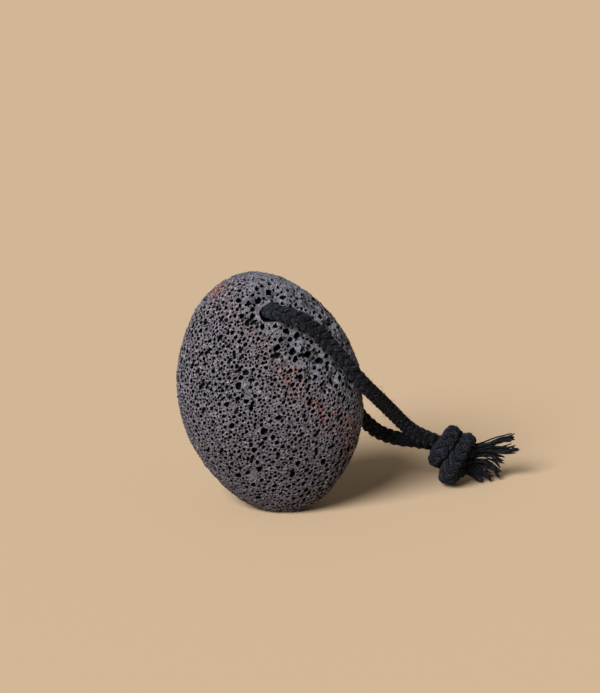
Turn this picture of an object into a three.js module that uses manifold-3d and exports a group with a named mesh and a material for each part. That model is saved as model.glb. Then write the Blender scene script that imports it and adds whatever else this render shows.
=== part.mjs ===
// Pumice stone on a rope loop.
//
// An oval pebble of dark lava pumice stands on a small worn flat at its lower end, leaning a little
// to the left. A braided cotton rope goes through a hole near its top, and both strands hang down to
// one doubled knot that rests on the floor behind the stone's right side, with two frayed ends.
//
// Millimetres, +X right, +Y towards the back, +Z up. The origin is on the floor, under the middle of
// the stone's bounding box.

import * as THREE from 'three';
import { mergeVertices } from 'three/addons/utils/BufferGeometryUtils.js';
import Module from 'manifold-3d';

const wasm = await Module();
wasm.setup();

// ---------------------------------------------------------------- driving dimensions

// The stone: half its length, width and thickness, and the shape of its outline and rim.
const HALF_LENGTH = 47.5;
const HALF_WIDTH = 35;
const HALF_THICKNESS = 19;
const OUTLINE_POWER = 1.82; // 2 is a true ellipse, less is more pointed
const RIM_POWER = 2.2; // how full the rim is, seen edge on
const EGG = -0.035; // the left side is a little longer than the right
const LEAN = THREE.MathUtils.degToRad(11.5); // how far the top leans to the left
const FOOT_DEPTH = 1.5; // how much is worn off the lower end

// The shallow dish in the face that the rope lies in, between two points in the stone.
const DISH_START = new THREE.Vector3(2, -13, 80);
const DISH_END = new THREE.Vector3(34, -7, 50);
const DISH_DEPTH = 1.6;
const DISH_REACH = 15;

// The rope and the hole that it goes through.
const ROPE_DIAMETER = 6;
const ROPE_ROOM = 0.6; // clearance round the rope where it leaves the hole and lies in the dish
const HOLE_DIAMETER = 9;
const HOLE_AT = new THREE.Vector3(-1.3, 0, 79.3);

// The rope's route: up from the knot, over the stone's right edge and face, through the hole,
// down the back and along to the knot again.
const ROPE_ROUTE = [
  [61.5, 24.6, 19.8], [57.6, 22.8, 21.9], [53.7, 20.0, 25.1], [50.2, 16.6, 29.1],
  [47.2, 12.6, 33.4], [44.2, 8.2, 37.4], [41.5, 3.4, 41.4], [39.0, -1.6, 45.2],
  [36.4, -6.2, 48.9], [33.5, -9.8, 52.9], [30.1, -12.0, 57.4], [26.2, -13.2, 62.6],
  [21.5, -14.1, 68.4], [17.4, -14.8, 72.9], [13.6, -15.4, 76.1], [9.6, -15.4, 78.5],
  [5.5, -14.2, 79.6], [1.9, -11.8, 79.7], [-0.4, -8.2, 79.6], [-1.2, -3.8, 79.5],
  [-1.3, 1.0, 79.4], [-1.2, 5.6, 79.2], [-0.5, 10.0, 78.5], [1.2, 14.0, 76.8],
  [3.9, 17.1, 73.6], [7.4, 19.2, 69.0], [11.3, 20.5, 63.2], [15.4, 21.3, 56.9],
  [19.7, 21.8, 50.2], [24.0, 22.4, 43.5], [28.3, 23.3, 37.0], [32.6, 24.5, 31.1],
  [36.9, 26.1, 25.9], [41.4, 28.0, 21.8], [46.2, 29.8, 19.1], [51.2, 31.0, 17.6],
  [56.2, 31.4, 16.8], [61.2, 31.4, 16.0],
];

// The knot: a core with two wraps round it and a lobe that rests on the floor.
const KNOT_AT = new THREE.Vector3(71, 27.5, 11.6);
const KNOT_AXIS = new THREE.Vector3(0.94, 0.22, -0.26).normalize();
const KNOT_CORE_RADIUS = 6.4;
const KNOT_CORE_LENGTH = 17;
const WRAP_RADIUS = 7.2;
const WRAP_SPACING = 6.4;
const WRAP_TILT = THREE.MathUtils.degToRad(18);
const LOBE_AT = new THREE.Vector3(70, 25, 5.2);
const LOBE_RADIUS = 5.1;

// The frayed ends: where each leaves the knot and ends, and its radius there.
const UPPER_END = { from: [81.0, 30.0, 12.2], to: [96.4, 34.0, 15.6], narrow: 2.2, wide: 3.2 };
const LOWER_END = { from: [79.6, 29.5, 6.2], to: [91.6, 34.4, 5.0], narrow: 2.8, wide: 4.4 };

// Facets.
const AROUND = 84;
const RIM_STEPS = 26;
const ROPE_SIDES = 10;
const ROPE_STEPS = 78;

// ---------------------------------------------------------------- materials

const STONE = new THREE.MeshStandardMaterial({ color: 0x5a5356, roughness: 0.95, metalness: 0 });
const ROPE = new THREE.MeshStandardMaterial({ color: 0x1b1d22, roughness: 0.9, metalness: 0 });

// ---------------------------------------------------------------- solids

function toSolid(geometry) {
  const bare = geometry.clone();
  bare.deleteAttribute('normal');
  bare.deleteAttribute('uv');
  const merged = mergeVertices(bare);
  const mesh = new wasm.Mesh({
    numProp: 3,
    vertProperties: new Float32Array(merged.attributes.position.array),
    triVerts: new Uint32Array(merged.index.array),
  });
  return new wasm.Manifold(mesh);
}

function toGeometry(solid) {
  const mesh = solid.getMesh();
  const geometry = new THREE.BufferGeometry();
  geometry.setAttribute('position', new THREE.BufferAttribute(mesh.vertProperties, 3));
  geometry.setIndex(new THREE.BufferAttribute(mesh.triVerts, 1));
  geometry.computeVertexNormals();
  return geometry;
}

function piece(name, geometry, material) {
  const mesh = new THREE.Mesh(geometry, material);
  mesh.name = name;
  return mesh;
}

// Turns a geometry made along +Y so that it runs along a direction, and moves it to a place.
function place(geometry, direction, at) {
  const turn = new THREE.Quaternion().setFromUnitVectors(new THREE.Vector3(0, 1, 0), direction);
  return geometry.applyQuaternion(turn).translate(at.x, at.y, at.z);
}

// ---------------------------------------------------------------- the stone

// A pebble lying on its face, turned from its rim's profile, then drawn out to an oval.
function pebble() {
  const rim = [];
  for (let i = 0; i <= RIM_STEPS; i += 1) {
    const angle = Math.PI * (i / RIM_STEPS - 0.5);
    const reach = i === 0 || i === RIM_STEPS ? 0 : Math.cos(angle) ** (2 / RIM_POWER);
    rim.push(new THREE.Vector2(reach, Math.sin(angle)));
  }
  const geometry = new THREE.LatheGeometry(rim, AROUND);
  const position = geometry.attributes.position;
  for (let i = 0; i < position.count; i += 1) {
    const across = position.getX(i);
    const along = position.getZ(i);
    const radius = Math.hypot(across, along);
    if (radius > 0) {
      const stretched = Math.abs(across) ** OUTLINE_POWER + Math.abs(along) ** OUTLINE_POWER;
      const reach = radius / stretched ** (1 / OUTLINE_POWER);
      const side = across * reach;
      const end = along * reach * (1 + EGG * side);
      position.setXYZ(i, side * HALF_WIDTH, position.getY(i) * HALF_THICKNESS, end * HALF_LENGTH);
    } else {
      position.setXYZ(i, 0, position.getY(i) * HALF_THICKNESS, 0);
    }
  }
  return geometry;
}

// Stands the pebble up, leaning to the left, with its worn end just under the floor.
function standUp(geometry) {
  geometry.rotateY(-LEAN);
  geometry.computeBoundingBox();
  const box = geometry.boundingBox;
  const middle = box.getCenter(new THREE.Vector3());
  return geometry.translate(-middle.x, -middle.y, -box.min.z - FOOT_DEPTH);
}

// Sinks the face towards the stone's middle along the line that the rope lies on.
function sinkDish(geometry) {
  const position = geometry.attributes.position;
  const line = new THREE.Line3(DISH_START, DISH_END);
  const middle = new THREE.Vector3(0, 0, HALF_LENGTH);
  const point = new THREE.Vector3();
  const nearest = new THREE.Vector3();
  const inward = new THREE.Vector3();
  for (let i = 0; i < position.count; i += 1) {
    point.fromBufferAttribute(position, i);
    line.closestPointToPoint(point, true, nearest);
    const share = 1 - Math.min(1, point.distanceTo(nearest) / DISH_REACH) ** 2;
    inward.copy(middle).sub(point);
    inward.set(inward.x / HALF_WIDTH ** 2, inward.y / HALF_THICKNESS ** 2, inward.z / HALF_LENGTH ** 2);
    point.addScaledVector(inward.normalize(), DISH_DEPTH * share ** 2);
    position.setXYZ(i, point.x, point.y, point.z);
  }
  return geometry;
}

function circle(radius, sides) {
  const points = [];
  for (let i = 0; i < sides; i += 1) {
    const angle = (i / sides) * 2 * Math.PI;
    points.push(new THREE.Vector2(radius * Math.cos(angle), radius * Math.sin(angle)));
  }
  return new THREE.Shape(points);
}

function alongRoute(radius) {
  const points = ROPE_ROUTE.map((point) => new THREE.Vector3(...point));
  const extrudePath = new THREE.CatmullRomCurve3(points, false, 'centripetal');
  const options = { steps: ROPE_STEPS, bevelEnabled: false, extrudePath };
  return new THREE.ExtrudeGeometry(circle(radius, ROPE_SIDES), options);
}

function stone() {
  const body = toSolid(sinkDish(standUp(pebble())));
  const bore = new THREE.CylinderGeometry(HOLE_DIAMETER / 2, HOLE_DIAMETER / 2, 3 * HALF_THICKNESS, 24);
  const floor = new THREE.BoxGeometry(4 * HALF_WIDTH, 4 * HALF_WIDTH, HALF_LENGTH);
  const solid = body
    .subtract(toSolid(bore.translate(HOLE_AT.x, HOLE_AT.y, HOLE_AT.z)))
    .subtract(toSolid(alongRoute(ROPE_DIAMETER / 2 + ROPE_ROOM)))
    .subtract(toSolid(floor.translate(0, 0, -HALF_LENGTH / 2)));
  return toGeometry(solid);
}

// ---------------------------------------------------------------- the knot and the frayed ends

function wrap(shift, lean) {
  const across = new THREE.Vector3(0, 0, 1).cross(KNOT_AXIS).normalize();
  const axis = KNOT_AXIS.clone().applyAxisAngle(across, lean);
  const ring = new THREE.TorusGeometry(WRAP_RADIUS, ROPE_DIAMETER / 2, 10, 24).rotateX(Math.PI / 2);
  return place(ring, axis, KNOT_AT.clone().addScaledVector(KNOT_AXIS, shift));
}

function knot() {
  const core = new THREE.CylinderGeometry(KNOT_CORE_RADIUS, KNOT_CORE_RADIUS, KNOT_CORE_LENGTH, 20);
  const lobe = new THREE.SphereGeometry(LOBE_RADIUS, 16, 12);
  const solid = toSolid(place(core, KNOT_AXIS, KNOT_AT))
    .add(toSolid(wrap(-WRAP_SPACING / 2, WRAP_TILT)))
    .add(toSolid(wrap(WRAP_SPACING / 2, WRAP_TILT)))
    .add(toSolid(lobe.translate(LOBE_AT.x, LOBE_AT.y, LOBE_AT.z)));
  return toGeometry(solid);
}

// A bunch of loose yarns as one rounded, widening plug.
function frayedEnd({ from, to, narrow, wide }) {
  const start = new THREE.Vector3(...from);
  const direction = new THREE.Vector3(...to).sub(start);
  const length = direction.length();
  const profile = [
    new THREE.Vector2(0, 0),
    new THREE.Vector2(narrow, 0),
    new THREE.Vector2(wide, 0.6 * length),
    new THREE.Vector2(wide, 0.9 * length),
    new THREE.Vector2(0.6 * wide, length),
    new THREE.Vector2(0, length),
  ];
  return place(new THREE.LatheGeometry(profile, 14), direction.normalize(), start);
}

// ---------------------------------------------------------------- the whole object

const pumice = new THREE.Group();
pumice.add(piece('stone', stone(), STONE));
pumice.add(piece('rope', alongRoute(ROPE_DIAMETER / 2), ROPE));
pumice.add(piece('knot', knot(), ROPE));
pumice.add(piece('frayed_end_upper', frayedEnd(UPPER_END), ROPE));
pumice.add(piece('frayed_end_lower', frayedEnd(LOWER_END), ROPE));

export default pumice;
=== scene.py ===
import math

import bpy
import numpy as np
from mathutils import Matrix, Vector, noise
from mathutils.kdtree import KDTree


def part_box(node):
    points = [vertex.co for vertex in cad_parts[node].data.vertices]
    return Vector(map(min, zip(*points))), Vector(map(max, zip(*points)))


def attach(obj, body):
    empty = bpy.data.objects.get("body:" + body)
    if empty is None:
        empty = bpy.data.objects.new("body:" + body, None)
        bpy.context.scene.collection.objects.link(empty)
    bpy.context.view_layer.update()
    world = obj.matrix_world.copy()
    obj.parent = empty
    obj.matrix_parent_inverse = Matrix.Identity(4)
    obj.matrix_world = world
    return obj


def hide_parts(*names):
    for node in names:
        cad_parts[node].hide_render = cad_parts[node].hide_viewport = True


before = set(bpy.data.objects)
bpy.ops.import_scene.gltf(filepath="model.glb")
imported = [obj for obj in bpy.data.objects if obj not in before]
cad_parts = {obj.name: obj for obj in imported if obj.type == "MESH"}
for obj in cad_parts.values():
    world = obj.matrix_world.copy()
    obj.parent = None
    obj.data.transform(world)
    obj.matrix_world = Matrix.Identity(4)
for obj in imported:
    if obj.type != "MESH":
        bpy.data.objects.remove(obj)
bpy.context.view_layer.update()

MM = 0.001
stone_low, stone_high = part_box("stone")
stone_middle = (Vector(stone_low) + Vector(stone_high)) / 2


# ------------------------ small tools

def work_on(obj):
    """Makes obj the one selected, active object."""
    bpy.ops.object.select_all(action="DESELECT")
    obj.select_set(True)
    bpy.context.view_layer.objects.active = obj


def new_piece(name, verts, faces=()):
    mesh = bpy.data.meshes.new(name)
    mesh.from_pydata(np.asarray(verts).tolist(), [], [list(f) for f in faces])
    mesh.update()
    piece = bpy.data.objects.new(name, mesh)
    bpy.context.scene.collection.objects.link(piece)
    return piece


def read_points(mesh):
    points = np.zeros(len(mesh.vertices) * 3)
    mesh.vertices.foreach_get("co", points)
    return points.reshape(-1, 3)


def write_points(mesh, points):
    mesh.vertices.foreach_set("co", np.asarray(points).ravel())
    mesh.update()


def point_attribute(mesh, name, values):
    attribute = mesh.attributes.new(name, "FLOAT", "POINT")
    attribute.data.foreach_set("value", np.asarray(values, np.float32))


def unit(vectors):
    length = np.linalg.norm(vectors, axis=-1, keepdims=True)
    return vectors / np.maximum(length, 1e-12)


def ease(x):
    x = np.clip(x, 0, 1)
    return x * x * (3 - 2 * x)


def apply_modifier(piece, kind, **settings):
    work_on(piece)
    modifier = piece.modifiers.new(kind.lower(), kind)
    for key, value in settings.items():
        setattr(modifier, key, value)
    bpy.ops.object.modifier_apply(modifier=modifier.name)


# ------------------------ camera, lights and floor

CAMERA_DISTANCE = 0.7208
CAMERA_HEIGHT = math.radians(15)
AIM_RIGHT = 0.01106
AIM_UP = 0.01693


def set_camera():
    upward = Vector((0, math.sin(CAMERA_HEIGHT), math.cos(CAMERA_HEIGHT)))
    back = Vector((0, -math.cos(CAMERA_HEIGHT), math.sin(CAMERA_HEIGHT)))
    place = stone_middle + back * CAMERA_DISTANCE + upward * AIM_UP + Vector((AIM_RIGHT, 0, 0))
    turn = (math.pi / 2 - CAMERA_HEIGHT, 0, 0)
    bpy.ops.object.camera_add(location=place, rotation=turn)
    camera = bpy.context.object
    camera.name = "camera"
    camera.data.lens = 100
    camera.data.sensor_width = 36
    camera.data.clip_start = 0.05
    camera.data.clip_end = 20
    bpy.context.scene.camera = camera


WORLD_COLOUR = (1.0, 0.90, 0.80, 1)
WORLD_GLOW = 0.18
KEY_FROM = (-0.78, -1.06, 1.0)
KEY_COLOUR = (1.0, 0.985, 0.98)
KEY_ENERGY = 4.5
KEY_WIDTH = math.radians(30)


def set_light():
    world = bpy.data.worlds.new("studio")
    world.use_nodes = True
    background = world.node_tree.nodes["Background"]
    background.inputs["Color"].default_value = WORLD_COLOUR
    background.inputs["Strength"].default_value = WORLD_GLOW
    bpy.context.scene.world = world
    bpy.context.scene.view_settings.view_transform = "Standard"
    bpy.ops.object.light_add(type="SUN", location=KEY_FROM)
    key = bpy.context.object
    key.name = "key_light"
    key.data.energy = KEY_ENERGY
    key.data.angle = KEY_WIDTH
    key.data.color = KEY_COLOUR
    key.rotation_euler = Vector(KEY_FROM).to_track_quat("Z", "Y").to_euler()


FLOOR_COLOUR = (0.62, 0.46, 0.30, 1)
FLOOR_SIZE = 6


def floor_material():
    material = bpy.data.materials.new("plain_floor")
    material.use_nodes = True
    nodes = material.node_tree.nodes
    nodes["Principled BSDF"].inputs["Base Color"].default_value = FLOOR_COLOUR
    nodes["Principled BSDF"].inputs["Roughness"].default_value = 0.9
    return material


def lay_floor():
    bpy.ops.mesh.primitive_plane_add(size=FLOOR_SIZE, location=(0, 0, 0))
    floor = bpy.context.object
    floor.name = "floor"
    floor.data.materials.append(floor_material())


set_camera()
set_light()
lay_floor()

# ------------------------ nodes


def add_node(tree, kind, **values):
    """Adds a node; a value is a link when it is a socket, otherwise it is set."""
    node = tree.nodes.new(kind)
    for key, value in values.items():
        if key.startswith("set_"):
            setattr(node, key[4:], value)
            continue
        socket = node.inputs[int(key[1:])] if key[0] == "i" and key[1:].isdigit() else (
            node.inputs[key.replace("_", " ")])
        if isinstance(value, bpy.types.NodeSocket):
            tree.links.new(value, socket)
        else:
            socket.default_value = value
    return node


def blend_colours(tree, share, first, second, way="MIX"):
    node = add_node(tree, "ShaderNodeMix", set_data_type="RGBA", set_blend_type=way)
    for socket, value in ((node.inputs[0], share), (node.inputs[6], first),
                          (node.inputs[7], second)):
        if isinstance(value, bpy.types.NodeSocket):
            tree.links.new(value, socket)
        else:
            socket.default_value = value
    return node.outputs[2]


def combine(tree, operation, first, second=0.0, clamp=False):
    node = add_node(tree, "ShaderNodeMath", set_operation=operation, set_use_clamp=clamp,
                    i0=first, i1=second)
    return node.outputs[0]


def spread(tree, value, low, high, start=0.0, end=1.0):
    node = add_node(tree, "ShaderNodeMapRange", Value=value, From_Min=low, From_Max=high,
                    To_Min=start, To_Max=end, set_interpolation_type="SMOOTHSTEP")
    return node.outputs[0]


def grain(tree, place, scale, detail=3.0, roughness=0.55, distortion=0.0):
    node = add_node(tree, "ShaderNodeTexNoise", Vector=place, Scale=scale, Detail=detail,
                    Roughness=roughness, Distortion=distortion)
    return node.outputs["Fac"]


def pumice_material():
    material = bpy.data.materials.new("lava_pumice")
    material.use_nodes = True
    tree = material.node_tree
    bsdf = tree.nodes["Principled BSDF"]
    place = add_node(tree, "ShaderNodeTexCoord").outputs["Object"]
    painted_pit_shade = add_node(tree, "ShaderNodeAttribute", set_attribute_name="painted_pit_shade").outputs["Fac"]
    coarse = add_node(tree, "ShaderNodeAttribute", set_attribute_name="coarse").outputs["Fac"]
    band = add_node(tree, "ShaderNodeAttribute", set_attribute_name="band").outputs["Fac"]
    streak = add_node(tree, "ShaderNodeAttribute", set_attribute_name="streak").outputs["Fac"]

    patches = grain(tree, place, 90, 3)
    flecks = grain(tree, place, 1000, 4, 0.6)
    dust = grain(tree, place, 2600, 3, 0.65)
    colour = blend_colours(tree, spread(tree, patches, 0.35, 0.65), ASH_DARK, ASH_WARM)
    colour = blend_colours(tree, coarse, colour, ASH_BLUE)
    rusty = combine(tree, "MULTIPLY", band, spread(tree, flecks, 0.35, 0.6), clamp=True)
    colour = blend_colours(tree, combine(tree, "MULTIPLY", rusty, 0.8), colour, RUST_GREY)
    slanted = add_node(tree, "ShaderNodeMapping", Vector=place, Scale=(1.7, 1, 0.8),
                       Rotation=(0, math.radians(35), 0)).outputs[0]
    broken = grain(tree, slanted, 240, 4, 0.7, 0.5)
    streaks = combine(tree, "MULTIPLY", spread(tree, broken, 0.60, 0.68),
                      spread(tree, band, 0.30, 0.65, 0.0, 0.6))
    colour = blend_colours(tree, streaks, colour, RUST_RED)
    streaks = combine(tree, "ADD", combine(tree, "MULTIPLY", streak, 0.55), broken)
    colour = blend_colours(tree, spread(tree, streaks, 0.66, 0.82, 0.0, 0.95), colour, RUST_RED)
    pale = spread(tree, grain(tree, place, 900, 2, 0.5), 0.56, 0.66)
    colour = blend_colours(tree, combine(tree, "MULTIPLY", pale, 0.6), colour, ASH_PALE)
    colour = blend_colours(tree, spread(tree, dust, 0.42, 0.66, 0.0, 0.65), colour, ASH_PALE)
    colour = blend_colours(tree, spread(tree, flecks, 0.56, 0.36, 0.0, 0.45), colour, DEEP_ASH_AND_SHADE)
    cells = add_node(tree, "ShaderNodeTexVoronoi", Vector=place, Scale=1500,
                     Randomness=1.0).outputs["Distance"]
    tiny_pores = spread(tree, cells, 0.16, 0.34)
    # Painted shade: black dots for tiny pores that are only a bump, not holes; fewer in the
    # coarse part.
    tiny_pore_shade = combine(tree, "MULTIPLY", spread(tree, tiny_pores, 0, 1, 0.85, 0),
                   spread(tree, coarse, 0, 1, 1, 0.35))
    colour = blend_colours(tree, tiny_pore_shade, colour, PAINTED_PIT_SHADE)
    # Painted shade: the colour darkens towards the stone's bottom, where less light falls.
    height = add_node(tree, "ShaderNodeSeparateXYZ", Vector=place).outputs["Z"]
    colour = blend_colours(tree, spread(tree, height, 0.060, 0.0, 0.0, 0.42), colour, DEEP_ASH_AND_SHADE)
    # Painted shade: pores and the rope's hole are coloured darker the deeper they go.
    colour = blend_colours(tree, spread(tree, painted_pit_shade, 0.06, 0.34), colour, PAINTED_PIT_SHADE)
    tree.links.new(colour, bsdf.inputs["Base Color"])
    bsdf.inputs["Roughness"].default_value = 0.85
    bsdf.inputs["Specular IOR Level"].default_value = 0.1

    rough = combine(tree, "ADD", combine(tree, "MULTIPLY", tiny_pores, 0.8),
                    combine(tree, "MULTIPLY", flecks, 1.0))
    rough = combine(tree, "ADD", rough, combine(tree, "MULTIPLY", dust, 0.7))
    knobs = combine(tree, "MULTIPLY", grain(tree, place, 650, 3, 0.6),
                    spread(tree, coarse, 0, 1, 0, 2.5))
    rough = combine(tree, "ADD", rough, knobs)
    bump = add_node(tree, "ShaderNodeBump", Height=rough, Strength=1.0, Distance=0.5 * MM)
    tree.links.new(bump.outputs["Normal"], bsdf.inputs["Normal"])
    return material


ASH_DARK = (0.100, 0.097, 0.130, 1)
ASH_WARM = (0.144, 0.130, 0.160, 1)
ASH_BLUE = (0.156, 0.166, 0.212, 1)
ASH_PALE = (0.42, 0.40, 0.46, 1)
RUST_GREY = (0.156, 0.088, 0.088, 1)
RUST_RED = (0.23, 0.070, 0.046, 1)
# Dark ash for the random flecks, and the painted shade towards the bottom.
DEEP_ASH_AND_SHADE = (0.030, 0.027, 0.032, 1)
# Near-black painted shade for the insides of pores and for the tiny pore dots.
PAINTED_PIT_SHADE = (0.003, 0.0027, 0.003, 1)
stone_material = pumice_material()

# ------------------------ the rope's line

ROPE_RADIUS = 3.0 * MM
ROPE_ROUTE = [
    (61.5, 24.6, 19.8), (57.6, 22.8, 21.9), (53.7, 20.0, 25.1), (50.2, 16.6, 29.1),
    (47.2, 12.6, 33.4), (44.2, 8.2, 37.4), (41.5, 3.4, 41.4), (39.0, -1.6, 45.2),
    (36.4, -6.2, 48.9), (33.5, -9.8, 52.9), (30.1, -12.0, 57.4), (26.2, -13.2, 62.6),
    (21.5, -14.1, 68.4), (17.4, -14.8, 72.9), (13.6, -15.4, 76.1), (9.6, -15.4, 78.5),
    (5.5, -14.2, 79.6), (1.9, -11.8, 79.7), (-0.4, -8.2, 79.6), (-1.2, -3.8, 79.5),
    (-1.3, 1.0, 79.4), (-1.2, 5.6, 79.2), (-0.5, 10.0, 78.5), (1.2, 14.0, 76.8),
    (3.9, 17.1, 73.6), (7.4, 19.2, 69.0), (11.3, 20.5, 63.2), (15.4, 21.3, 56.9),
    (19.7, 21.8, 50.2), (24.0, 22.4, 43.5), (28.3, 23.3, 37.0), (32.6, 24.5, 31.1),
    (36.9, 26.1, 25.9), (41.4, 28.0, 21.8), (46.2, 29.8, 19.1), (51.2, 31.0, 17.6),
    (56.2, 31.4, 16.8), (61.2, 31.4, 16.0),
]

# The knot's two strands from the loop to their ends, in mm, with the rope's fullness there.
FRONT_STRAND = [
    (63.8, 25.2, 19.2, 0.95), (67.4, 26.4, 17.4, 0.85), (71.5, 28.4, 16.2, 0.8),
    (74.5, 30.6, 15.6, 0.8), (76.2, 33.0, 15.6, 0.8), (75.2, 35.2, 17.0, 0.85),
    (72.6, 34.0, 19.2, 0.95), (70.6, 30.5, 20.7, 1.05), (69.7, 25.8, 20.9, 1.15),
    (68.0, 22.3, 19.3, 1.2), (66.3, 20.8, 17.4, 1.25), (64.4, 20.9, 15.2, 1.25),
    (63.3, 22.8, 13.0, 1.1), (63.8, 26.5, 10.0, 0.95), (66.0, 30.4, 7.6, 0.9),
    (69.2, 33.2, 7.2, 0.85), (72.2, 34.0, 9.2, 0.8), (74.6, 33.4, 11.2, 0.8),
    (76.8, 31.8, 12.7, 0.8), (79.6, 31.5, 13.3, 0.75),
]
BACK_STRAND = [
    (63.4, 31.4, 15.4, 0.95), (67.0, 31.6, 14.0, 0.85), (71.0, 32.6, 12.6, 0.8),
    (74.6, 34.2, 11.6, 0.8), (77.0, 35.4, 12.4, 0.8), (77.6, 35.2, 14.8, 0.85),
    (76.2, 33.0, 16.4, 0.95), (75.2, 29.8, 17.1, 1.1), (74.4, 26.2, 16.9, 1.2),
    (73.8, 23.0, 16.0, 1.2), (72.4, 21.0, 14.4, 1.25), (70.5, 20.2, 12.1, 1.25),
    (69.0, 20.2, 9.0, 1.3), (68.0, 21.2, 5.6, 1.35), (68.7, 24.4, 4.2, 1.35),
    (70.9, 28.2, 3.9, 1.15), (73.7, 31.0, 3.9, 1.0), (76.2, 32.4, 5.0, 0.9),
    (78.0, 32.4, 6.6, 0.85), (80.2, 32.4, 7.6, 0.8),
]


# The rope that fills the middle of the knot.
INNER_STRAND = [
    (64.6, 26.6, 11.6, 1.0), (67.4, 27.2, 10.2, 1.15), (70.6, 28.0, 9.4, 1.2),
    (73.4, 29.6, 8.8, 1.1), (75.6, 30.8, 8.6, 0.9),
]


def smooth_line(points, step):
    """A smooth curve through the points, as places about one step apart."""
    p = np.asarray(points, float)
    p = np.vstack([2 * p[0] - p[1], p, 2 * p[-1] - p[-2]])
    pieces = []
    for a, b, c, d in zip(p, p[1:], p[2:], p[3:]):
        k1 = np.linalg.norm((b - a)[:3]) ** 0.5
        k2 = k1 + np.linalg.norm((c - b)[:3]) ** 0.5
        k3 = k2 + np.linalg.norm((d - c)[:3]) ** 0.5
        t = np.linspace(k1, k2, 24, endpoint=False)[:, None]
        ab = (k1 - t) / k1 * a + t / k1 * b
        bc = (k2 - t) / (k2 - k1) * b + (t - k1) / (k2 - k1) * c
        cd = (k3 - t) / (k3 - k2) * c + (t - k2) / (k3 - k2) * d
        abc = (k2 - t) / k2 * ab + t / k2 * bc
        bcd = (k3 - t) / (k3 - k1) * bc + (t - k1) / (k3 - k1) * cd
        pieces.append((k2 - t) / (k2 - k1) * abc + (t - k1) / (k2 - k1) * bcd)
    return even_line(np.vstack(pieces + [p[-2:-1]]), step)


def even_line(fine, step):
    along = arc(fine)
    count = max(2, int(round(along[-1] / step)) + 1)
    places = np.linspace(0, along[-1], count)
    return np.column_stack([np.interp(places, along, column) for column in fine.T])


def arc(line):
    steps = np.linalg.norm(np.diff(line[:, :3], axis=0), axis=1)
    return np.concatenate([[0], np.cumsum(steps)])


def carried_frames(line):
    """Two cross directions at each place, carried along the line without twist."""
    tangent = unit(np.gradient(line, axis=0))
    side = np.zeros_like(line)
    side[0] = unit(np.cross(tangent[0], (0.1, 0.2, 1.0)))
    for i in range(1, len(line)):
        side[i] = unit(side[i - 1] - tangent[i] * (side[i - 1] @ tangent[i]))
    return side, np.cross(tangent, side)


TOUCHING = 2.45


def settle(line, held, turns=90):
    """Pushes the strands of the knot out of each other, and evens them."""
    along = arc(line)
    size = line[:, 3]
    room = TOUCHING * (size[:, None] + size[None, :])
    apart = np.abs(along[:, None] - along[None, :]) > 11
    free = ~held
    for _ in range(turns):
        gap = line[:, None, :3] - line[None, :, :3]
        distance = np.linalg.norm(gap, axis=2) + 1e-9
        overlap = np.where(apart, np.maximum(room - distance, 0), 0)
        push = (gap / distance[..., None] * overlap[..., None]).sum(axis=1)
        strength = np.maximum((overlap > 0).sum(axis=1), 1)[:, None]
        line[free, :3] += 0.4 * (push / strength)[free]
        middle = (line[:-2, :3] + line[2:, :3]) / 2
        inner = free[1:-1]
        line[1:-1, :3][inner] += 0.15 * (middle - line[1:-1, :3])[inner]
        lowest = 3.0 * size + 0.1
        low = free & (line[:, 2] < lowest)
        line[low, 2] = lowest[low]
    return line


def whole_rope_line(step):
    """From one end of the rope through the knot, round the loop and back through the knot."""
    first = np.array(FRONT_STRAND)[::-1]
    last = np.array(BACK_STRAND)
    route = np.array(ROPE_ROUTE)
    fullness = 1.05 + 0.07 * np.exp(-((route[:, 2] - 79.5) / 5) ** 2)
    route = np.column_stack([route, fullness])
    rough = smooth_line(np.vstack([first, route, last]), 1.0)

    def nearest(line, place):
        return np.argmin(np.linalg.norm(line[:, :3] - place[:3], axis=1))

    held = np.zeros(len(rough), bool)
    held[nearest(rough, route[0]):nearest(rough, route[-1]) + 1] = True
    fine = even_line(settle(rough, held), step)
    start, end = nearest(fine, route[0]), nearest(fine, route[-1])
    return fine[:, :3] * MM, fine[:, 3], start, end


# ------------------------ the braid

STRANDS_EACH_WAY = 4
BRAID_PITCH = 13.3 * MM
BRAID_REACH = 1.75 * MM
BRAID_WAVE = 0.55 * MM
STRAND_HALF_THICK = 0.68 * MM
STRAND_HALF_WIDE = 1.08 * MM
STRAND_SIDES = 10
LINE_STEP = 0.55


ROUGH_YARN = 0.12 * MM

weave = np.random.default_rng(7)


def even_noise(along, reach, height):
    """A smooth uneven share along a line."""
    knots = np.arange(0, along[-1] + 2 * reach, reach)
    return np.interp(along, knots, weave.uniform(-height, height, len(knots)))


def braid_strands(line, size):
    """Eight strands woven round the line, each as its sections, with a place along it."""
    side, across = carried_frames(line)
    along = arc(line)
    strands = []
    for way in (1, -1):
        for number in range(STRANDS_EACH_WAY):
            angle = way * 2 * math.pi * along / BRAID_PITCH + number * math.pi / 2
            wave = np.cos(2 * (angle - math.pi / 8))
            reach = (BRAID_REACH + way * BRAID_WAVE * wave) * size
            outward = np.cos(angle)[:, None] * side + np.sin(angle)[:, None] * across
            centre = line + outward * reach[:, None]
            forward = unit(np.gradient(centre, axis=0))
            outward = unit(outward - forward * np.sum(outward * forward, axis=1)[:, None])
            sideways = np.cross(forward, outward)
            turn = np.linspace(math.pi, 3 * math.pi, STRAND_SIDES, endpoint=False)
            thick = (STRAND_HALF_THICK * size)[:, None, None] * np.cos(turn)[None, :, None]
            wide = (STRAND_HALF_WIDE * size)[:, None, None] * np.sin(turn)[None, :, None]
            full = even_noise(along, 2.2 * MM, 0.10)[:, None, None]
            rough = weave.uniform(-ROUGH_YARN, ROUGH_YARN, thick.shape[:2])[..., None]
            shape = outward[:, None, :] * thick + sideways[:, None, :] * wide
            ring = centre[:, None, :] + shape * (1 + full) + unit(shape) * rough
            strands.append(ring)
    return strands, along


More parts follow.
